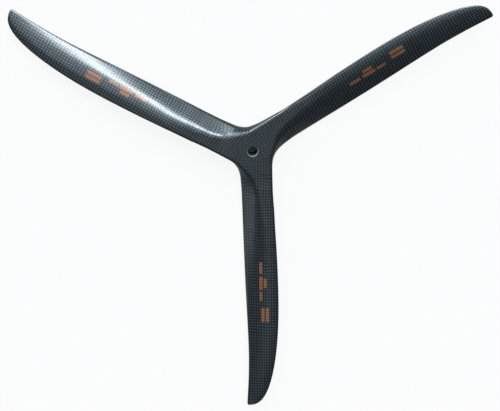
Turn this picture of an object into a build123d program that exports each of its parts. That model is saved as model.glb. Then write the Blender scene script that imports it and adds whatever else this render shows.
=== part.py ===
import os
from math import atan2, pi

from build123d import *

os.makedirs("parts", exist_ok=True)

# Three-blade propeller, moulded in one piece. The origin is on the bore axis at the back
# face of the hub and +Z points forward. Seen from the front it turns counter-clockwise.

# Driving sizes in mm
diameter = 558.8
pitch = 203.2
blade_count = 3
first_blade_angle = 30.0
hub_thickness = 22.0
bore_diameter = 10.0
bore_chamfer = 1.0

# Where the full blade form begins, and how far forward the tips lean
hub_reach = 60.0
tip_rake = 3.8

# How far the loft stands proud of the hub faces before it is cut flat
face_trim = 0.9

# The rounded fall of the leading edge towards the tip
tip_fall_share = 0.334
tip_roundness = 2.78
tip_corner = -7.2
tip_corner_radius = 2.0

radius = diameter / 2
blade_length = radius - hub_reach


# A smooth line through a few control points (x, value)
def along(x, points):
    slopes = []
    for i in range(len(points)):
        low = points[max(i - 1, 0)]
        high = points[min(i + 1, len(points) - 1)]
        slopes.append((high[1] - low[1]) / (high[0] - low[0]))
    x = min(max(x, points[0][0]), points[-1][0])
    i = 0
    while x > points[i + 1][0]:
        i += 1
    (x0, v0), (x1, v1) = points[i], points[i + 1]
    step = x1 - x0
    t = (x - x0) / step
    start = v0 * (1 + 2 * t) * (1 - t) ** 2 + step * slopes[i] * t * (1 - t) ** 2
    end = v1 * t * t * (3 - 2 * t) + step * slopes[i + 1] * t * t * (t - 1)
    return start + end


# Control points against the position p: 0 on the bore axis, 1 where the blade begins, 2 at the tip

# Leading and trailing edges, as offsets from the blade's middle line
leading_points = [(0, 25), (0.1, 23.2), (0.2, 21.7), (0.35, 20.4), (0.55, 20.2), (0.75, 20.7),
                  (1, 21.7), (1.3, 25.05), (1.6, 26.5), (2, 25.7)]
trailing_points = [(0, -34), (0.1, -30), (0.2, -22), (0.3, -16.6), (0.4, -13.7), (0.52, -12.2),
                   (0.75, -11.2), (1, -10.7), (1.35, -8.7), (1.7, -5.9), (1.85, -6.2), (2, -8)]

# How far the front rim stands inside the leading edge, and the back rim inside the trailing edge
front_lead_inset_points = [(0, 4.5), (0.1, 3.2), (0.2, 1.9), (0.35, 0.3), (0.55, -0.2), (0.75, 0), (2, 0)]
back_trail_inset_points = [(0, 8), (0.1, 6.5), (0.2, 3.7), (0.3, 1.8), (0.4, 0.8), (0.55, 0), (2, 0)]

# Where the crest lies, as a share of the chord from the trailing edge
crest_shares = [(0, 0.05), (0.1, 0.05), (0.2, 0.086), (0.3, 0.11), (0.4, 0.2), (0.52, 0.335),
                (0.73, 0.457), (1, 0.48), (1.3, 0.54), (2, 0.62)]

# How much of the full pitch the section takes
pitch_shares = [(0, 0), (0.38, 0.3), (0.73, 0.62), (1, 0.79), (1.12, 1), (2, 1)]

# Heights of the front crest, the back crest, the nose and the tail off the pitch surface
front_points = [(0, 9), (0.73, 9), (1, 8.3), (1.12, 6.2), (1.28, 4.6), (1.6, 3.4), (1.85, 2.3), (2, 0.9)]
back_points = [(0, 13), (0.73, 12), (1, 7.5), (1.12, 3.2), (1.28, 1.4), (1.6, 0.7), (2, 0.5)]
nose_points = [(0, 2), (1, 1.6), (1.28, 1), (1.6, 0.8), (2, 0.4)]
tail_points = [(0, 2), (1, 1.6), (1.12, 1), (1.28, 0.75), (2, 0.4)]

# How far the corners are rounded back along their sides
blunt_rounding_points = [(0, 2.5), (0.73, 3), (1, 4), (1.3, 9), (2, 12)]
crest_rounding_points = [(0, 3.5), (0.73, 5), (1, 7), (1.2, 14), (2, 14)]
tail_rounding = 3.0


# How far out a position p lies
def reach(p):
    if p <= 1:
        return hub_reach * p
    return hub_reach + blade_length * (p - 1)


# Leading edge offset, falling along a rounded curve over the outer blade to the tip corner
def leading(p):
    straight = along(p, leading_points)
    fall_start = 1 + tip_fall_share
    t = min(max((p - fall_start) / (2 - fall_start), 0.0), 1.0)
    fall = 1 - (1 - t**tip_roundness) ** (1 / tip_roundness)
    return straight - (straight - tip_corner) * fall


# Trailing edge offset, with the rounded corner at the very tip
def trailing(p):
    depth = max(0.0, tip_corner_radius - (radius - reach(p)))
    rise = tip_corner_radius - (tip_corner_radius**2 - depth**2) ** 0.5
    return along(p, trailing_points) + rise


# Height of the helical pitch surface at an offset y
def pitch_height(p, y):
    rise = hub_thickness / 2 + tip_rake * max(0.0, p - 0.4) / 1.6
    return rise + along(p, pitch_shares) * pitch / (2 * pi) * atan2(y, max(reach(p), 1.0))


# Share of the blade form against the straight hub form
def blade_share(p):
    t = min(max((p - 0.36) / 0.64, 0.0), 1.0)
    return t * t * (3 - 2 * t)


# The six corners of a section, from the front of the nose round by the tail to the back of the nose
def corners(p):
    lead = leading(p)
    trail = trailing(p)
    crest = along(p, crest_shares) * (lead - trail)
    share = blade_share(p)
    top = hub_thickness + face_trim
    forms = [
        (lead - along(p, front_lead_inset_points), top, along(p, nose_points)),
        (trail + crest, top, along(p, front_points)),
        (trail, 0.6 * hub_thickness, along(p, tail_points)),
        (trail + along(p, back_trail_inset_points), -face_trim, -along(p, tail_points)),
        (lead - crest, -face_trim, -along(p, back_points)),
        (lead, 0.4 * hub_thickness, -along(p, nose_points)),
    ]
    points = []
    for y, hub_height, offset in forms:
        blade_height = pitch_height(p, y) + offset
        height = hub_height + share * (blade_height - hub_height)
        points.append(Vector(y, min(max(height, -face_trim), top)))
    return points


# The six roundings of a section
def rounding(p):
    blunt = along(p, blunt_rounding_points)
    crest = along(p, crest_rounding_points)
    return [blunt, crest, tail_rounding, tail_rounding, crest, blunt]


# Positions of the sections that carry the loft
station_shares = [0, 0.1, 0.2, 0.3, 0.4, 0.52, 0.73, 1, 1.15, 1.3, 1.45, 1.6, 1.72, 1.81, 1.88,
                  1.93, 1.965, 1.985, 1.995, 1.9992]

with BuildPart() as blade:
    for p in station_shares:
        ring = corners(p)
        limits = rounding(p)
        with BuildSketch(Plane.YZ.offset(reach(p))):
            with BuildLine():
                ends = []
                for i, corner in enumerate(ring):
                    before = ring[i - 1] - corner
                    after = ring[(i + 1) % len(ring)] - corner
                    a = corner + before.normalized() * min(limits[i], 0.46 * before.length)
                    b = corner + after.normalized() * min(limits[i], 0.46 * after.length)
                    Bezier(a, a + (corner - a) * 0.55, b + (corner - b) * 0.55, b)
                    ends.append((a, b))
                for i in range(len(ends)):
                    Line(ends[i][1], ends[(i + 1) % len(ends)][0])
            make_face()
    loft()
    Box(2.1 * radius, 4 * hub_reach, hub_thickness,
        align=(Align.CENTER, Align.CENTER, Align.MIN), mode=Mode.INTERSECT)

with BuildPart() as propeller:
    with PolarLocations(0, blade_count, start_angle=first_blade_angle):
        add(blade.part)
    with Locations((0, 0, hub_thickness)):
        Hole(bore_diameter / 2)
    rims = propeller.edges().filter_by(GeomType.CIRCLE)
    bore_rims = rims.filter_by(lambda e: abs(e.radius - bore_diameter / 2) < 0.01)
    chamfer(bore_rims.sort_by(Axis.Z)[-1], bore_chamfer)

propeller.part.label = "propeller"
export_step(propeller.part, "parts/propeller.step")
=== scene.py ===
# %% [markdown]
# A three-blade propeller moulded in one piece from carbon cloth.
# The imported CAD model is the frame: it gives the real size and place of everything here.
# All lengths in Blender are metres. The blade formulas below are in millimetres, as a maker
# would write them, and are turned into metres when the mesh is made.

import math

import bmesh
import bpy
import numpy as np
from mathutils import Matrix


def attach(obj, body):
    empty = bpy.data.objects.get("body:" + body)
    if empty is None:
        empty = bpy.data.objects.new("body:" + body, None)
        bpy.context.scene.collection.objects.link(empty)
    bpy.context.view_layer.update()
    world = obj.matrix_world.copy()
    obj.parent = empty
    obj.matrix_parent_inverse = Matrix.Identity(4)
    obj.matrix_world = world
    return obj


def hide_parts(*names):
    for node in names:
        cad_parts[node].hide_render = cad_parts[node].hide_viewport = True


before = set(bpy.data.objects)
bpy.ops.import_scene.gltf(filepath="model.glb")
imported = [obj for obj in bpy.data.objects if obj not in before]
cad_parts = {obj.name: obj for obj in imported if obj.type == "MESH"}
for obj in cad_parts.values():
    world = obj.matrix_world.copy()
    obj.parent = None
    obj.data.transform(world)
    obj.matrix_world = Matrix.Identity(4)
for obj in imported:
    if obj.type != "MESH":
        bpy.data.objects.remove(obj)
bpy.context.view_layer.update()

# %% [markdown]
# The camera stands almost straight in front of the hub, a little above the shaft line.
# The object lies on the floor as it would come to rest, so the camera looks down on it.
# The pose comes from fitting the outline of the blades: three small turns and a shift.
# A camera could also be placed by hand, but then the two outlines never quite meet.

# %% Camera
VIEW_TURNS = (0.22772, 0.04880, 0.02120)
VIEW_DISTANCE = 1.24674
VIEW_SHIFT = (0.00166, 0.06036)
FOCAL_PIXELS = 1200
IMAGE_WIDTH = 500
SENSOR_WIDTH = 36
FARTHEST_SEEN = 20

camera_data = bpy.data.cameras.new("camera")
camera_data.sensor_fit = "HORIZONTAL"
camera_data.sensor_width = SENSOR_WIDTH
camera_data.lens = FOCAL_PIXELS * SENSOR_WIDTH / IMAGE_WIDTH
camera_data.clip_end = FARTHEST_SEEN
camera = bpy.data.objects.new("camera", camera_data)
bpy.context.collection.objects.link(camera)
turn = (Matrix.Rotation(VIEW_TURNS[2], 4, "Z") @ Matrix.Rotation(VIEW_TURNS[1], 4, "Y")
        @ Matrix.Rotation(VIEW_TURNS[0], 4, "X"))
world_to_camera = Matrix.Translation((*VIEW_SHIFT, -VIEW_DISTANCE)) @ turn
camera.matrix_world = world_to_camera.inverted()
bpy.context.scene.camera = camera
print("camera stands at", tuple(round(c, 3) for c in camera.matrix_world.translation))

# %% [markdown]
# The blade is described by six corners of its cross-section. Each corner follows a smooth line
# from the hub to the tip. The position p runs from 0 on the bore axis over 1, where the full
# blade form begins, to 2 at the tip. These are the same driving sizes as in the CAD model.
# The blade could be sculpted too, but a few sizes along it are easier to check and to change.

# %% Driving sizes, in millimetres
DIAMETER = 558.8
PITCH = 203.2
HUB_THICKNESS = 22.0
HUB_REACH = 60.0
BORE_RADIUS = 5.0
BORE_CHAMFER = 1.0
TIP_RAKE = 3.8
BLADE_ANGLES = (30, 150, 270)
TIP_FALL_START = 1.334
TIP_ROUNDNESS = 2.78
TIP_CORNER = -7.2
TIP_CORNER_RADIUS = 2.0
RADIUS = DIAMETER / 2
MM_PER_METRE = 1000
print("propeller of", DIAMETER, "mm diameter and", PITCH, "mm pitch")

# %% [markdown]
# Each list below is one smooth line, given by a few (position, value) points. The first five say
# where the corners lie across the blade: its two edges, how far the front and back corners stand
# inside them, and the crest as a share of the width. Then come the share of the pitch that the
# section takes, four heights off the twisted surface, and how much the corners are rounded.

# %% Lines that the corners follow
LEADING = [(0, 25), (0.1, 23.2), (0.2, 21.7), (0.35, 20.4), (0.55, 20.2), (0.75, 20.7), (1, 21.7),
           (1.3, 25.05), (1.6, 26.5), (2, 25.7)]
TRAILING = [(0, -34), (0.1, -30), (0.2, -22), (0.3, -16.6), (0.4, -13.7), (0.52, -12.2),
            (0.75, -11.2), (1, -10.7), (1.35, -8.7), (1.7, -5.9), (1.85, -6.2), (2, -8)]
FRONT_INSET = [(0, 4.5), (0.1, 3.2), (0.2, 1.9), (0.35, 0.3), (0.55, -0.2), (0.75, 0), (2, 0)]
BACK_INSET = [(0, 8), (0.1, 6.5), (0.2, 3.7), (0.3, 1.8), (0.4, 0.8), (0.55, 0), (2, 0)]
CREST = [(0, 0.05), (0.1, 0.05), (0.2, 0.086), (0.3, 0.11), (0.4, 0.2), (0.52, 0.335),
         (0.73, 0.457), (1, 0.48), (1.3, 0.54), (2, 0.62)]
PITCH_SHARE = [(0, 0), (0.38, 0.3), (0.73, 0.62), (1, 0.79), (1.12, 1), (2, 1)]
FRONT = [(0, 9), (0.73, 9), (1, 8.3), (1.12, 6.2), (1.28, 4.6), (1.6, 3.4), (1.85, 2.3), (2, 0.9)]
BACK = [(0, 13), (0.73, 12), (1, 7.5), (1.12, 3.2), (1.28, 1.4), (1.6, 0.7), (2, 0.5)]
NOSE = [(0, 2), (1, 1.6), (1.28, 1), (1.6, 0.8), (2, 0.4)]
TAIL = [(0, 2), (1, 1.6), (1.12, 1), (1.28, 0.75), (2, 0.4)]
BLUNT_ROUNDING = [(0, 2.5), (0.73, 3), (1, 4), (1.3, 9), (2, 12)]
CREST_ROUNDING = [(0, 3.5), (0.73, 5), (1, 7), (1.2, 14), (2, 14)]
TAIL_ROUNDING = 3.0
print("blade width runs from", LEADING[0][1] - TRAILING[0][1], "mm at the bore axis to",
      round(LEADING[6][1] - TRAILING[7][1], 1), "mm where the blade begins")

# %% [markdown]
# A line through a few points has to be smooth, because the clear coat shows every kink. Blender's
# curves could do it, but a formula gives the height at any position, which the mesh needs.

# %% Smooth lines through control points
RAKE_START = 0.4


def along(x, points):
    """Cubic Hermite line through (position, value) points; the slope at a point is that of the
    chord between its two neighbours."""
    xs, vs = np.array(points, dtype=float).T
    low = np.maximum(np.arange(len(xs)) - 1, 0)
    high = np.minimum(np.arange(len(xs)) + 1, len(xs) - 1)
    slopes = (vs[high] - vs[low]) / (xs[high] - xs[low])
    x = np.clip(x, xs[0], xs[-1])
    i = np.clip(np.searchsorted(xs, x, side="right") - 1, 0, len(xs) - 2)
    step = xs[i + 1] - xs[i]
    t = (x - xs[i]) / step
    start = vs[i] * (1 + 2 * t) * (1 - t) ** 2 + step * slopes[i] * t * (1 - t) ** 2
    end = vs[i + 1] * t * t * (3 - 2 * t) + step * slopes[i + 1] * t * t * (t - 1)
    return start + end


def reach(p):
    """Distance from the bore axis: straight in p, at one rate in the hub and another beyond."""
    return np.where(p <= 1, HUB_REACH * p, HUB_REACH + (RADIUS - HUB_REACH) * (p - 1))


def leading(p):
    """Leading edge: the smooth line, pulled down to the tip corner along a superellipse."""
    straight = along(p, LEADING)
    t = np.clip((p - TIP_FALL_START) / (2 - TIP_FALL_START), 0, 1)
    fall = 1 - (1 - t ** TIP_ROUNDNESS) ** (1 / TIP_ROUNDNESS)
    return straight - (straight - TIP_CORNER) * fall


def trailing(p):
    """Trailing edge: the smooth line, raised along a quarter circle at the very tip."""
    depth = np.clip(TIP_CORNER_RADIUS - (RADIUS - reach(p)), 0, TIP_CORNER_RADIUS)
    return along(p, TRAILING) + TIP_CORNER_RADIUS - np.sqrt(TIP_CORNER_RADIUS ** 2 - depth ** 2)


def pitch_height(p, y):
    """Height of the helical pitch surface: the share of the pitch that the section takes, times
    pitch / 2 pi, times the angle of the point about the bore axis, on a middle line that leans
    forward towards the tip."""
    middle = HUB_THICKNESS / 2 + TIP_RAKE * np.maximum(0, p - RAKE_START) / (2 - RAKE_START)
    angle = np.arctan2(y, np.maximum(reach(p), 1))
    return middle + along(p, PITCH_SHARE) * PITCH / (2 * math.pi) * angle


widest = np.linspace(1, 2, 101)
print("widest blade section", (leading(widest) - trailing(widest)).max().round(1), "mm")

# %% [markdown]
# A cut through the blade has six corners: nose, crest and tail, each with a front and a back one.
# In the hub four of them lie on the flat faces and two part way down the walls. Further out all
# six stand off the twisted surface. Mixing the two forms in one formula lets the hub run into the
# blade without a seam.

# %% Corners of the cross-section
BLADE_FORM_START = 0.36
TAIL_LEVEL, NOSE_LEVEL = 0.6, 0.4


def corners(p):
    """Six (y, z) corners of the section at p: between the straight hub form and the blade form,
    which stands off the pitch surface by a small height. The share of the blade form follows
    t * t * (3 - 2 * t)."""
    lead, trail = leading(p), trailing(p)
    crest = along(p, CREST) * (lead - trail)
    t = np.clip((p - BLADE_FORM_START) / (1 - BLADE_FORM_START), 0, 1)
    share = t * t * (3 - 2 * t)
    top = HUB_THICKNESS
    forms = [(lead - along(p, FRONT_INSET), top, along(p, NOSE)),
             (trail + crest, top, along(p, FRONT)),
             (trail, TAIL_LEVEL * top, along(p, TAIL)),
             (trail + along(p, BACK_INSET), 0, -along(p, TAIL)),
             (lead - crest, 0, -along(p, BACK)),
             (lead, NOSE_LEVEL * top, -along(p, NOSE))]
    ring = []
    for y, hub, offset in forms:
        z = hub + share * (pitch_height(p, y) + offset - hub)
        ring.append(np.stack([y, np.clip(z, 0, top)], -1))
    return np.stack(ring, -2)


print("corners where the blade begins", corners(np.array(1.0)).round(1).tolist())

# %% [markdown]
# Six sharp corners would look folded, so each is rounded by a Bezier arc between two points on
# its sides. A Bevel modifier could round them as well, but it would not keep the rows and columns
# of the grid, and the blade needs another radius at every place. The ramp from the crest to the
# tail is also made a little fuller than in the CAD model, where it is straight.

# %% Rounded cross-section
CORNERS = 6
ROUNDING_LIMIT = 0.46
ROUNDING_FULLNESS = 0.55
RAMP_BULGE = 0.12
BULGE_START, BULGE_RISE, BULGE_FALL = 0.7, 0.5, 0.2
BULGE_SCALE = 27 / 4


def rounded_corners(p):
    """The six corners, and where the arc of each begins and ends: a distance back along its two
    sides, but never more than a share of the side."""
    ring = corners(p)
    blunt, crest = along(p, BLUNT_ROUNDING), along(p, CREST_ROUNDING)
    tail = np.full_like(blunt, TAIL_ROUNDING)
    distances = np.stack([blunt, crest, tail, tail, crest, blunt], -1)[..., None]
    before, after = np.roll(ring, 1, -2) - ring, np.roll(ring, -1, -2) - ring
    before_length = np.linalg.norm(before, axis=-1, keepdims=True)
    after_length = np.linalg.norm(after, axis=-1, keepdims=True)
    arc_start = ring + before * np.minimum(distances / before_length, ROUNDING_LIMIT)
    arc_end = ring + after * np.minimum(distances / after_length, ROUNDING_LIMIT)
    return ring, arc_start, arc_end


def picked(points, corner):
    """The point of each section that belongs to the corner of that number."""
    return np.take_along_axis(points, np.mod(corner, CORNERS)[..., None, None], -2)[..., 0, :]


def ramp_bulge(p, q, y, crest_y, tail_y):
    """Extra height of the ramp from the crest to the tail: s * s * (1 - s), scaled so that its
    peak is 1, where s runs from 0 at the crest to 1 at the tail. It fades in after the hub and
    out at the tip."""
    s = np.clip((crest_y - y) / np.maximum(crest_y - tail_y, 1e-6), 0, 1)
    fade_in = np.clip((p - BULGE_START) / BULGE_RISE, 0, 1)
    fade_out = np.clip((2 - p) / BULGE_FALL, 0, 1)
    bulge = RAMP_BULGE * fade_in * fade_out * BULGE_SCALE * s * s * (1 - s)
    return np.where((q > 2) & (q < 4), bulge, 0)


def section(p, q):
    """Point (x, y, z) of the blade at position p and place q round its section. Each corner c
    is a Bezier arc for q from 2c to 2c + 1, and a straight side for q from 2c + 1 to 2c + 2."""
    ring, arc_start, arc_end = rounded_corners(p)
    q = np.mod(q, 2 * CORNERS)
    c = np.floor(q / 2).astype(int)
    t = (q - 2 * c)[..., None]
    start, corner, end = picked(arc_start, c), picked(ring, c), picked(arc_end, c)
    following = picked(arc_start, c + 1)
    one = start + (corner - start) * ROUNDING_FULLNESS
    two = end + (corner - end) * ROUNDING_FULLNESS
    s = np.clip(t, 0, 1)
    arc = start * (1 - s) ** 3 + 3 * one * s * (1 - s) ** 2
    arc = arc + 3 * two * s * s * (1 - s) + end * s ** 3
    side = end + (following - end) * np.clip(t - 1, 0, 1)
    yz = np.where(t <= 1, arc, side)
    yz[..., 1] += ramp_bulge(p, q, yz[..., 0], ring[..., 1, 0], arc_start[..., 2, 0])
    return np.concatenate([reach(p)[..., None], yz], -1)


print("crest where the blade begins", section(np.array(1.0), np.array(2.5)).round(1).tolist())

# %% [markdown]
# Three blades have to become one skin. Each blade owns a third of the circle, from the valley on
# its trailing side to the valley on its leading side. Its columns run in from the tip: those on
# the walls stop at the valley line, those on the two flat faces at the line from the valley to
# the bore or at the rim of the bore. Neighbours then share every point along those lines.
# A Boolean union would join them too, but it leaves long thin faces that the gloss would show.

# %% Where the columns of a blade end at the hub
VALLEY_ANGLE = math.radians(68)
SECTOR = math.radians(120)
LINE_STEPS, RIM_STEPS = 12, 24
EDGE_SAMPLES = 400
WALL_SEARCH_END = 0.6
HALVINGS = 40
RIM_ANGLES = np.linspace(VALLEY_ANGLE, VALLEY_ANGLE - SECTOR, RIM_STEPS + 1)


def crossing_radius(q, angle):
    """Distance from the bore axis at which the line with place q crosses the plane at that
    angle: the last two samples on either side of it, mixed by how near each is."""
    edge = np.linspace(0, 1, EDGE_SAMPLES)
    line = section(edge, np.full_like(edge, q))
    past = np.arctan2(line[:, 1], line[:, 0]) - angle
    i = np.nonzero(np.diff(np.sign(past)))[0][-1]
    t = past[i] / (past[i] - past[i + 1])
    return np.hypot(*(line[i] + (line[i + 1] - line[i]) * t)[:2])


def flat_columns(lead_q, trail_q, rim_radius):
    """Place q and inner end p of the columns on a flat face, from the leading valley to the
    trailing one. Their ends lie on a straight line in, round the rim, and on a line out."""
    lead_radius = crossing_radius(lead_q, VALLEY_ANGLE)
    trail_radius = crossing_radius(trail_q, VALLEY_ANGLE - SECTOR)
    inward = np.linspace(1, 0, LINE_STEPS, endpoint=False)
    lead_line = rim_radius + (lead_radius - rim_radius) * inward
    trail_line = rim_radius + (trail_radius - rim_radius) * inward[::-1]
    r = np.concatenate([lead_line, np.full(RIM_STEPS + 1, rim_radius), trail_line])
    angle = np.concatenate([np.full(LINE_STEPS, VALLEY_ANGLE), RIM_ANGLES,
                            np.full(LINE_STEPS, VALLEY_ANGLE - SECTOR)])
    p = r * np.cos(angle) / HUB_REACH
    lead_y = section(p, np.full_like(p, lead_q))[:, 1]
    trail_y = section(p, np.full_like(p, trail_q))[:, 1]
    share = (lead_y - r * np.sin(angle)) / (lead_y - trail_y)
    return lead_q + (trail_q - lead_q) * share, p


def wall_columns(places):
    """Inner end p of the columns on a wall: where the column crosses the valley plane, found by
    halving the interval again and again."""
    low, high = np.zeros_like(places), np.full_like(places, WALL_SEARCH_END)
    for halving in range(HALVINGS):
        middle = (low + high) / 2
        point = section(middle, places)
        angle = np.arctan2(point[:, 1], point[:, 0])
        outside = (angle > VALLEY_ANGLE) | (angle < VALLEY_ANGLE - SECTOR)
        low, high = np.where(outside, middle, low), np.where(outside, high, middle)
    return high


top_q, top_p = flat_columns(1.0, 2.0, BORE_RADIUS + BORE_CHAMFER)
bottom_q, bottom_p = flat_columns(8.0, 7.0, BORE_RADIUS)
print("top columns", len(top_q), "from", top_q[0].round(3), "to", top_q[-1].round(3))
print("bottom columns", len(bottom_q), "from", bottom_q[0].round(3), "to", bottom_q[-1].round(3))

# %% [markdown]
# All columns of a blade stand side by side in one ring: front face, trailing wall, back face and
# leading wall. The walls have their columns closer together where the corners are rounded.

# %% Columns round the blade
WALL_STEPS = (8, 8, 6, 4, 6)


def stretches(start, steps, sign):
    """Places q along the stretches of a wall, each with its own number of steps."""
    return np.concatenate([start + sign * (i + np.arange(n) / n) for i, n in enumerate(steps)])


trail_wall = stretches(2, WALL_STEPS, 1)[1:]
lead_wall = stretches(13, WALL_STEPS, -1)[1:][::-1]
q = np.concatenate([top_q, trail_wall, bottom_q[::-1], lead_wall])
inner = np.concatenate([top_p, wall_columns(trail_wall), bottom_p[::-1], wall_columns(lead_wall)])
ends = np.cumsum([len(top_q), len(trail_wall), len(bottom_q), len(lead_wall)])
top_face, trail_side_wall, bottom_face, lead_side_wall = np.split(np.arange(len(q)), ends[:-1])
print("columns round the blade", len(q))

# %% [markdown]
# The grid of the blade has one row for each place along it and one column for each place round
# its section. Rows stand closer at the hub and at the tip, where the form changes quickly. The
# last row is where the blade is only a few tenths of a millimetre wide.

# %% Grid of one blade
HUB_ROWS, BLADE_ROWS = 44, 96
HUB_END = 0.9
TIP_WIDTH = 0.4
HUB_SPACING, TIP_SPACING = 1.1, 1.7

tip_low, tip_high = 1.9, 2.0
for halving in range(HALVINGS):
    middle = np.array((tip_low + tip_high) / 2)
    wide = leading(middle) - trailing(middle) > TIP_WIDTH
    tip_low, tip_high = (middle, tip_high) if wide else (tip_low, middle)
tip = float(tip_low)
inwards = np.linspace(0, 1, HUB_ROWS, endpoint=False)[:, None] ** HUB_SPACING
outwards = 1 - (1 - np.linspace(0, 1, BLADE_ROWS)[:, None]) ** TIP_SPACING
hub_p = inner + (HUB_END - inner) * inwards
blade_p = np.broadcast_to(HUB_END + (tip - HUB_END) * outwards, (BLADE_ROWS, len(q)))
p = np.concatenate([hub_p, blade_p])
blade = section(p, np.broadcast_to(q, p.shape))
print("blade grid", blade.shape, "ends at", round(float(blade[-1, 0, 0]), 2), "mm")

# %% [markdown]
# The first row of one blade and that of its neighbour nearly meet. Both are moved to the point
# half way between them, and the rows behind follow less and less, so no step shows.

# %% Blades joined to their neighbours
JOIN_ROWS = 12


def turned(points, angle):
    """Points turned about the bore axis by an angle in radians: x and y times the rotation
    matrix with the cosine and the sine of the angle, and z as it is."""
    c, s = math.cos(angle), math.sin(angle)
    return points @ np.array([[c, s, 0], [-s, c, 0], [0, 0, 1]])


lead_side = np.concatenate([top_face[:LINE_STEPS], lead_side_wall[::-1],
                            bottom_face[-LINE_STEPS:][::-1]])
trail_side = np.concatenate([top_face[-LINE_STEPS:][::-1], trail_side_wall,
                             bottom_face[:LINE_STEPS]])
own, other = blade[0, lead_side], turned(blade[0, trail_side], SECTOR)
shared = (own + other) / 2
missed = np.linalg.norm(own - other, axis=1)
shift = np.zeros_like(blade[0])
shift[lead_side] = shared - own
shift[trail_side] = turned(shared, -SECTOR) - blade[0, trail_side]
fade = (1 - np.minimum(np.arange(len(blade)) / JOIN_ROWS, 1)) ** 2
blade = blade + shift * fade[:, None, None]
print("neighbours missed each other by up to", missed.max().round(2), "mm before they were joined")

# %% [markdown]
# The woven cloth follows the skin, so the pattern needs a map that follows it too: the distance
# along the blade, and the length round the section, measured from the blade's middle line on the
# front and again on the back. The two cloths meet along the nose and the tail, as they do in the
# mould. Blender's unwrapping could lay the skin flat, but it would stretch the weave.

# %% Cloth coordinates
TABLE_ROWS, PLACES_PER_STRETCH = 240, 18
FIRST_Q, LAST_Q = -3, 13
TABLE_P = np.linspace(0, tip, TABLE_ROWS)
TABLE_Q = np.linspace(FIRST_Q, LAST_Q, (LAST_Q - FIRST_Q) * PLACES_PER_STRETCH + 1)
LAST_CELL = 1.001
FRONT_SEARCH, BACK_SEARCH = (0.5, 5), (6.5, 11)
FRONT_ENDS_AT, FRONT_BEGINS_AT = 4.5, 11.5
UNWRAP_ABOVE = 9
BACK_CLOTH_START = 1000.0

table_shape = (len(TABLE_P), len(TABLE_Q))
table = section(np.broadcast_to(TABLE_P[:, None], table_shape),
                np.broadcast_to(TABLE_Q[None, :], table_shape))
lengths = np.linalg.norm(np.diff(table[..., 1:], axis=1), axis=-1)
lengths = np.concatenate([np.zeros((len(TABLE_P), 1)), np.cumsum(lengths, axis=1)], axis=1)


def looked_up(p, q):
    """Length round the section at (p, q), by bilinear interpolation in the table."""
    i = np.clip(p / TABLE_P[1], 0, len(TABLE_P) - LAST_CELL)
    j = np.clip((q - TABLE_Q[0]) / (TABLE_Q[1] - TABLE_Q[0]), 0, len(TABLE_Q) - LAST_CELL)
    i0, j0 = i.astype(int), j.astype(int)
    s, t = i - i0, j - j0
    return ((1 - s) * (1 - t) * lengths[i0, j0] + s * (1 - t) * lengths[i0 + 1, j0]
            + (1 - s) * t * lengths[i0, j0 + 1] + s * t * lengths[i0 + 1, j0 + 1])


def middle_line(first, last):
    """Length round the section to the first place between two q where y changes sign."""
    part = (TABLE_Q >= first) & (TABLE_Q <= last)
    y, run = table[:, part, 1], lengths[:, part]
    i = np.argmax(np.sign(y[:, 1:]) != np.sign(y[:, :1]), axis=1)
    rows = np.arange(len(y))
    t = y[rows, i] / (y[rows, i] - y[rows, i + 1])
    return run[rows, i] + t * (run[rows, i + 1] - run[rows, i])


unwrapped = np.broadcast_to(np.where(q > UNWRAP_ABOVE, q - 2 * CORNERS, q), p.shape)
front_v = np.interp(p, TABLE_P, middle_line(*FRONT_SEARCH)) - looked_up(p, unwrapped)
back_v = (looked_up(p, np.broadcast_to(q, p.shape))
          - np.interp(p, TABLE_P, middle_line(*BACK_SEARCH)))
front_face = (q < FRONT_ENDS_AT) | (q > FRONT_BEGINS_AT)
front_span = front_v[:, front_face]
print("front cloth spans", front_span.min().round(1), "to", front_span.max().round(1), "mm")

# %% [markdown]
# Each face of the grid joins four neighbouring points, and the tip is closed by one face. The
# bore is a short pipe with a chamfer at the front, made of the same rim points, so the skin is
# closed all round.

# %% Faces of one third
BORE_RINGS = 8

rows, columns = blade.shape[:2]
index = np.arange(rows * columns).reshape(rows, columns)
right = np.roll(index, -1, axis=1)
quads = np.stack([index[:-1], right[:-1], right[1:], index[1:]], -1).reshape(-1, 4)
tip_cap = index[-1][::-1]
bore_z = np.array([HUB_THICKNESS, *np.linspace(HUB_THICKNESS - BORE_CHAMFER, 0, BORE_RINGS)])
bore_r = np.array([BORE_RADIUS + BORE_CHAMFER] + [BORE_RADIUS] * BORE_RINGS)
bore = np.stack([bore_r[:, None] * np.cos(RIM_ANGLES), bore_r[:, None] * np.sin(RIM_ANGLES),
                 bore_z[:, None] + 0 * RIM_ANGLES], -1)
bore_index = np.arange(bore[..., 0].size).reshape(bore.shape[:2])
bore_quads = np.stack([bore_index[:-1, :-1], bore_index[1:, :-1], bore_index[1:, 1:],
                       bore_index[:-1, 1:]], -1).reshape(-1, 4)
print("one third has", len(quads) + len(bore_quads) + 1, "faces")

# %% [markdown]
# Every corner of a face gets its place on the flat cloth. Faces of the back take theirs from the
# back cloth, which lies a metre further along on the map, so the printed bars, which are given by
# their place on the front cloth, don't show on the back.

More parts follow.
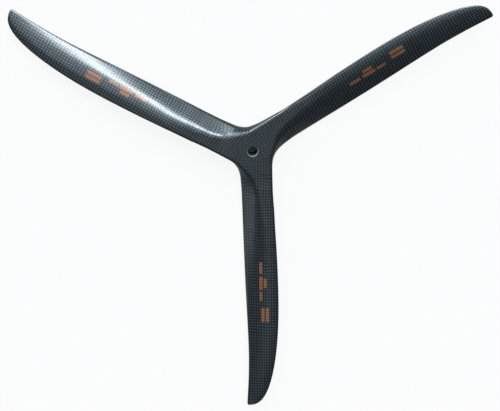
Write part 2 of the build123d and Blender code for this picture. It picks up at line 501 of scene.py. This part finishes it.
# %% Cloth coordinates of those faces
front_cloth = np.stack([reach(p), front_v], -1).reshape(-1, 2)
back_cloth = np.stack([reach(p) + BACK_CLOTH_START, back_v], -1).reshape(-1, 2)
quad_front = np.broadcast_to(front_face & np.roll(front_face, -1), (rows - 1, columns)).ravel()
quad_cloth = np.where(quad_front[:, None, None], front_cloth[quads], back_cloth[quads])
bore_cloth = np.stack([bore_z[:, None] + 0 * RIM_ANGLES,
                       RIM_ANGLES * BORE_RADIUS + 0 * bore_z[:, None]], -1).reshape(-1, 2)
third_cloth = np.concatenate([quad_cloth.reshape(-1, 2), bore_cloth[bore_quads].reshape(-1, 2),
                              front_cloth[tip_cap]])
print("faces on the front cloth", quad_front.sum(), "of", len(quads))

# %% [markdown]
# The third is turned to the three blade angles, and one call makes the mesh from the list of
# points and the list of faces. Slot 0 is for the cloth and slot 1 for the cut bore. Three copies
# of an object would be quicker to make, but they would not be one closed skin.

# %% Mesh of all three blades
third = np.concatenate([blade.reshape(-1, 3), bore.reshape(-1, 3)])
points = np.concatenate([turned(third, math.radians(angle)) for angle in BLADE_ANGLES])
faces = []
for start in range(0, len(points), len(third)):
    faces += (quads + start).tolist()
    faces += (bore_quads + rows * columns + start).tolist()
    faces.append((tip_cap + start).tolist())

mesh = bpy.data.meshes.new("propeller_skin")
mesh.from_pydata((points / MM_PER_METRE).tolist(), [], faces)
material_slots = [0] * len(quads) + [1] * len(bore_quads) + [0]
mesh.polygons.foreach_set("material_index", material_slots * len(BLADE_ANGLES))
cloth = np.tile(third_cloth, (len(BLADE_ANGLES), 1)) / MM_PER_METRE
uv_map = mesh.uv_layers.new(name="cloth")
uv_map.uv.foreach_set("vector", cloth.astype(np.float32).ravel())
print("mesh has", len(mesh.polygons), "faces before it is closed")

# %% [markdown]
# Neighbouring thirds have their own copy of each shared point, so points at the same place are
# merged, and faces that shrink to nothing on the way are dissolved. After that the skin has no
# open edge. Smooth shading hides the facets, and only edges that turn by more than 40 degrees,
# such as the front rim of the bore, stay sharp.

# %% Skin closed and shaded
SAME_PLACE, NO_LENGTH = 2e-6, 1e-7
SHARP_FROM = math.radians(40)

work = bmesh.new()
work.from_mesh(mesh)
bmesh.ops.remove_doubles(work, verts=work.verts, dist=SAME_PLACE)
bmesh.ops.dissolve_degenerate(work, edges=work.edges, dist=NO_LENGTH)
if work.calc_volume(signed=True) < 0:
    bmesh.ops.reverse_faces(work, faces=work.faces)
open_edges = sum(not edge.is_manifold for edge in work.edges)
print("skin:", len(work.faces), "faces,", open_edges, "open edges, volume",
      round(work.calc_volume() * 1e6, 1), "cm3")
work.to_mesh(mesh)
work.free()
mesh.shade_smooth()
mesh.set_sharp_from_angle(angle=SHARP_FROM)

propeller = bpy.data.objects.new("propeller_skin", mesh)
bpy.context.collection.objects.link(propeller)
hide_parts("propeller")
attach(propeller, "root")

# %% [markdown]
# Shader maths reads best as ordinary formulas. A Value stands for one node output, and the usual
# signs on Values add the Math nodes.

# %% Values in a shader
class Value:
    """One number, colour or vector that comes out of a node."""

    def __init__(self, sheet, socket):
        self.sheet, self.socket = sheet, socket

    def maths(self, operation, *others):
        """A Math node on this value and the others."""
        inputs = dict(enumerate((self, *others)))
        return self.sheet.node("ShaderNodeMath", {"operation": operation}, inputs)

    def power(self, exponent):
        """This value to the power of the exponent."""
        return self.maths("POWER", exponent)

    def __add__(self, other):
        return self.maths("ADD", other)

    def __sub__(self, other):
        return self.maths("SUBTRACT", other)

    def __mul__(self, other):
        return self.maths("MULTIPLY", other)

    def __truediv__(self, other):
        return self.maths("DIVIDE", other)

    def __lt__(self, other):
        return self.maths("LESS_THAN", other)

    def __gt__(self, other):
        return self.maths("GREATER_THAN", other)

    __radd__ = __add__
    __rmul__ = __mul__

    def __rsub__(self, other):
        return self * -1 + other

    def __rtruediv__(self, other):
        return self.power(-1) * other


# %% [markdown]
# A Sheet is the node tree of one material, or of the world. Every node is made by its node method:
# the settings come first, because they decide which sockets there are.

# %% Node trees
class Sheet:
    """The node tree of a material or of the world."""

    def __init__(self, block):
        block.use_nodes = True
        self.block, self.tree = block, block.node_tree
        self.tree.nodes.clear()

    def node(self, kind, settings=None, inputs=None, output=0):
        """Adds a node: its settings first, then the value or link of each socket."""
        made = self.tree.nodes.new(kind)
        for key, value in (settings or {}).items():
            setattr(made, key, value)
        for key, value in (inputs or {}).items():
            if isinstance(value, Value):
                self.tree.links.new(value.socket, made.inputs[key])
            else:
                made.inputs[key].default_value = value
        return Value(self, made.outputs[output]) if len(made.outputs) else made

    def mix(self, factor, first, second):
        """Colour between two colours."""
        return self.node("ShaderNodeMix", {"data_type": "RGBA"}, {0: factor, 6: first, 7: second}, 2)

    def split(self, vector):
        """The x, y and z of a vector."""
        first = self.node("ShaderNodeSeparateXYZ", inputs={0: vector})
        return [Value(self, socket) for socket in first.socket.node.outputs]

    def finish(self, shader, output="ShaderNodeOutputMaterial"):
        """Links the shader to the output node and gives back the material or world."""
        self.node(output, inputs={0: shader})
        return self.block


# %% [markdown]
# The skin is plain-woven carbon cloth under a clear coat. The tows cross the blade at a little
# under 45 degrees, one set each way. The set on top at a place is painted lighter or darker by its
# direction: a painted sheen that stands in for the way each set mirrors the light, so the cloth
# looks like a fine chequerboard. A picture of cloth could be wrapped round the blade, but a
# formula stays sharp however near the camera comes.
# The tows wander a little, most of all near the hub, where the cloth is pushed into the valleys.

# %% Weave of the cloth
WEAVE_ALONG, WEAVE_ACROSS = 0.00305, 0.0027
WAVE_SCALE, PATCH_SCALE = 45.0, 110.0
HUB_FADE = 900
HUB_WAVE, BLADE_WAVE = 0.0060, 0.0010
SQUARENESS = 4

carbon = Sheet(bpy.data.materials.new("woven_carbon"))
cloth_map = carbon.node("ShaderNodeUVMap", {"uv_map": "cloth"})
u, v = carbon.split(cloth_map)[:2]
waves = carbon.node("ShaderNodeTexNoise",
                    inputs={"Vector": cloth_map, "Scale": WAVE_SCALE, "Detail": 1.0})
patches = carbon.node("ShaderNodeTexNoise",
                      inputs={"Vector": cloth_map, "Scale": PATCH_SCALE, "Detail": 3.0})
hub_share = 1 / (1 + (u * u) * HUB_FADE)
bent = (waves - 0.5) * (hub_share * HUB_WAVE + BLADE_WAVE)
across = (u + bent) / WEAVE_ALONG + (v + bent) / WEAVE_ACROSS
over = (u + bent) / WEAVE_ALONG - (v - bent) / WEAVE_ACROSS
cell_a, cell_b = across.maths("FLOOR"), over.maths("FLOOR")
on_top = (cell_a + cell_b).maths("FLOORED_MODULO", 2)
side_a = ((across - cell_a) * 2 - 1).maths("ABSOLUTE")
side_b = ((over - cell_b) * 2 - 1).maths("ABSOLUTE")
side = side_b + (side_a - side_b) * on_top
end = side_a + (side_b - side_a) * on_top
pillow = (1 - end * end) * (1 - side.power(SQUARENESS))
print("weave of", round(WEAVE_ALONG * MM_PER_METRE, 2), "by", round(WEAVE_ACROSS * MM_PER_METRE, 2), "mm")

# %% [markdown]
# Each tow rises like a pillow where it lies on top, and fine fibres run along it. The relief is
# far too fine for faces, so it goes into the Bump node. Between the tows the cloth is dark.

# %% Relief and colour of the cloth
FIBRE_LINES = 9
TOW_CROWN, FIBRE_HEIGHT = 0.000035, 0.000001
# Painted sheen: a darker and a lighter colour for the two sets of tows, and their mean.
SHEEN_DARK_TOW = (0.037, 0.047, 0.052, 1)
SHEEN_BRIGHT_TOW = (0.136, 0.169, 0.184, 1)
MEAN_TOW_SHEEN = (0.081, 0.101, 0.111, 1)
GAP = (0.014, 0.018, 0.020, 1)
HUB_BLEND = 0.5
TONE_LOWEST, TONE_SPAN = 0.7, 0.6

fibre_place = over + (across - over) * on_top
fibres = (fibre_place * (FIBRE_LINES * 2 * math.pi)).maths("SINE")
height = pillow * TOW_CROWN + fibres * FIBRE_HEIGHT
tone = TONE_LOWEST + patches * TONE_SPAN
# Painted sheen: the set on top is painted lighter or darker, and near the hub closer to the mean.
tow_sheen_colour = carbon.mix(on_top, SHEEN_DARK_TOW, SHEEN_BRIGHT_TOW)
cloth_and_sheen_colour = carbon.mix(hub_share * HUB_BLEND, tow_sheen_colour, MEAN_TOW_SHEEN)
covered = (pillow.power(0.5) * tone).maths("MINIMUM", 1)
shade = carbon.mix(covered, GAP, cloth_and_sheen_colour)
print("tows", TOW_CROWN * 1e6, "micrometres high")

# %% [markdown]
# The blades carry small printed fields. They stand here as plain bars of orange, each given by
# where it begins and ends along the blade and across it, in metres. The paint lets half of the
# cloth show through, as thin ink does.

# %% Printed bars and finished skin
PAINT = (0.62, 0.20, 0.045, 1)
PAINT_COVER = 0.5
MARKS = [(0.1190, 0.1315, 0.0062, 0.0096),
         (0.1346, 0.1490, 0.0062, 0.0096),
         (0.1365, 0.1470, 0.0108, 0.0140),
         (0.1510, 0.1610, 0.0066, 0.0092),
         (0.1690, 0.1845, 0.0082, 0.0114),
         (0.1690, 0.1845, 0.0128, 0.0162)]
BASE_ROUGHNESS = 0.42
COAT_ROUGHNESS, COAT_IOR = 0.12, 1.5
BUMP_FILTER = 0.02


def inside(value, low, high):
    """1 where the value is more than low and less than high, 0 elsewhere."""
    return (value > low) * (value < high)


paint = 0
for low_u, high_u, low_v, high_v in MARKS:
    paint = paint + inside(u, low_u, high_u) * inside(v, low_v, high_v)
paint = paint * PAINT_COVER
bump = carbon.node("ShaderNodeBump", inputs={
    "Strength": 1.0, "Distance": 1.0, "Filter Width": BUMP_FILTER, "Height": height})
skin = carbon.node("ShaderNodeBsdfPrincipled", inputs={
    "Base Color": carbon.mix(paint, shade, PAINT), "Metallic": 1 - paint,
    "Roughness": BASE_ROUGHNESS, "Normal": bump,
    "Coat Weight": 1.0, "Coat Roughness": COAT_ROUGHNESS, "Coat IOR": COAT_IOR})
mesh.materials.append(carbon.finish(skin))
print("skin carries", len(MARKS), "bars on each blade")

# %% [markdown]
# The bore is drilled after moulding, so its wall and its chamfer show cut laminate: grey and
# slightly grained, without the clear coat. The chamfer is painted lighter than the wall, a painted
# highlight that draws the bright ring round the hole. One material serves both, because the map
# gives the height in the bore.

# %% Cut rim and wall of the bore
WALL_COLOUR = (0.080, 0.098, 0.106, 1)
# The rim colour is a painted highlight: lighter than the wall, though both are the same laminate.
RIM_HIGHLIGHT_COLOUR = (0.17, 0.18, 0.19, 1)
RIM_PART = 0.98
GRAIN_SCALE = 2500.0
GRAIN_STRENGTH, GRAIN_DEPTH = 0.3, 0.0001
SMOOTHEST_CUT, CUT_SPAN = 0.25, 0.2

cut = Sheet(bpy.data.materials.new("cut_carbon"))
cut_map = cut.node("ShaderNodeUVMap", {"uv_map": "cloth"})
height_up = cut.split(cut_map)[0]
# Painted highlight: above this height the chamfer gets the lighter rim colour.
rim = height_up > (HUB_THICKNESS - RIM_PART * BORE_CHAMFER) / MM_PER_METRE
grain = cut.node("ShaderNodeTexNoise",
                 inputs={"Vector": cut_map, "Scale": GRAIN_SCALE, "Detail": 2.0})
cut_bump = cut.node("ShaderNodeBump", inputs={
    "Strength": GRAIN_STRENGTH, "Distance": GRAIN_DEPTH, "Height": grain})
cut_skin = cut.node("ShaderNodeBsdfPrincipled", inputs={
    "Base Color": cut.mix(rim, WALL_COLOUR, RIM_HIGHLIGHT_COLOUR),
    "Roughness": SMOOTHEST_CUT + grain * CUT_SPAN, "Normal": cut_bump})
mesh.materials.append(cut.finish(cut_skin))
print("materials", [material.name for material in mesh.materials])

# %% [markdown]
# The floor is a plain white sheet. What the camera sees of it is mostly the sheet's own white,
# and the rest is lit by the light of the world, so the object keeps a soft shadow. Mirrored in
# the object, the sheet is much weaker, because the lower edges of the blades stay dark. A dark
# disc painted on the sheet under the bore is painted shade: it makes the hole look dark, as if the
# floor seen through it lay in shadow. It belongs to the stage, not to the propeller.

# %% Floor
FLOOR_HALF, FLOOR_DEPTH = 4, 0.0002
# Painted shade: a dark disc on the floor under the bore.
SHADE_DISC_RADIUS = 0.0075
PAINTED_SHADE_COLOUR = (0.013, 0.019, 0.023, 1)
WHITE = (1, 1, 1, 1)
SEEN_DIRECT, SEEN_MIRRORED = 0.9, 0.15
LIT_DIRECT = (0.9, 0.9, 0.9, 1)
LIT_ELSEWHERE = (0.2, 0.2, 0.2, 1)
GLOSSY_RAY, OBJECT_PLACE = 3, 3

floor_corners = [(x * FLOOR_HALF, y * FLOOR_HALF, -FLOOR_DEPTH)
                 for x, y in ((-1, -1), (1, -1), (1, 1), (-1, 1))]
floor_mesh = bpy.data.meshes.new("floor")
floor_mesh.from_pydata(floor_corners, [], [(0, 1, 2, 3)])
floor = bpy.data.objects.new("floor", floor_mesh)
bpy.context.collection.objects.link(floor)

paper = Sheet(bpy.data.materials.new("white_floor"))
place = paper.node("ShaderNodeTexCoord", output=OBJECT_PLACE)
from_axis = paper.node("ShaderNodeVectorMath", {"operation": "LENGTH"}, {0: place}, 1)
# Painted shade: the floor is dark inside the disc under the bore.
sheet_white_and_shade = paper.mix(from_axis > SHADE_DISC_RADIUS, PAINTED_SHADE_COLOUR, WHITE)
direct = paper.node("ShaderNodeLightPath")
mirrored = paper.node("ShaderNodeLightPath", output=GLOSSY_RAY)
seen = direct * SEEN_DIRECT + mirrored * SEEN_MIRRORED
lit = paper.node("ShaderNodeBsdfDiffuse",
                 inputs={"Color": paper.mix(direct, LIT_ELSEWHERE, LIT_DIRECT)})
white = paper.node("ShaderNodeEmission", inputs={"Color": sheet_white_and_shade, "Strength": 1.0})
floor_skin = paper.node("ShaderNodeMixShader", inputs={0: seen, 1: lit, 2: white})
floor_mesh.materials.append(paper.finish(floor_skin))
print("floor", 2 * FLOOR_HALF, "m wide, at z", -FLOOR_DEPTH, "m")

# %% [markdown]
# The light is one soft studio drawn on the world, without lamps. Each soft light is a spot in the
# direction (x, y) of the ray, that fades outwards as a bell curve. Area lamps could stand there,
# but a clear coat mirrors their square edges, and these spots have none. Below the horizon there
# is only the even light of the room. The camera itself sees a plain white backdrop.

# %% Light
ROOM = (0.118, 0.135, 0.146, 1)
LIGHT_COLOUR = (0.93, 1.0, 1.07, 1)
SOFT_LIGHTS = [("key", 0.24, 0.447, 0.075, 0.080, 23),
               ("key_glow", 0.19, 0.46, 0.18, 0.21, 3.0),
               ("front", 0.0, 0.09, 0.12, 0.19, 1.1),
               ("upper", 0.02, 0.72, 0.28, 0.13, 1.7),
               ("ramp", 0.48, 0.82, 0.19, 0.11, 1.5),
               ("horizon", 0.20, 0.95, 0.20, 0.07, 3.2),
               ("rim", -0.52, 0.76, 0.24, 0.15, 8.0),
               ("valley", -0.03, 0.82, 0.08, 0.18, 9.0),
               ("left", -0.88, -0.27, 0.14, 0.22, 0.65),
               ("low", -0.15, -0.28, 0.24, 0.11, 0.42)]

studio = Sheet(bpy.data.worlds.new("studio"))
x, y, z = studio.split(studio.node("ShaderNodeTexCoord"))
glow = 0
for name, middle_x, middle_y, wide, high, level in SOFT_LIGHTS:
    off_x, off_y = (x - middle_x) / wide, (y - middle_y) / high
    glow = glow + (off_x * off_x * -1 - off_y * off_y).maths("EXPONENT") * level
    print("soft light", name, "towards x", middle_x, "y", middle_y, "at level", level)
glow = glow * (z > 0)
room = studio.node("ShaderNodeBackground", inputs={0: ROOM})
lights = studio.node("ShaderNodeBackground", inputs={0: LIGHT_COLOUR, 1: glow})
both = studio.node("ShaderNodeAddShader", inputs={0: room, 1: lights})
backdrop = studio.node("ShaderNodeBackground", inputs={0: WHITE})
seen_by_camera = studio.node("ShaderNodeLightPath")
shown = studio.node("ShaderNodeMixShader", inputs={0: seen_by_camera, 1: both, 2: backdrop})
bpy.context.scene.world = studio.finish(shown, "ShaderNodeOutputWorld")
bpy.context.scene.view_settings.view_transform = "Standard"

# %% [markdown]
# The last cell prints that the scene is built.

# %% End
print("scene built")
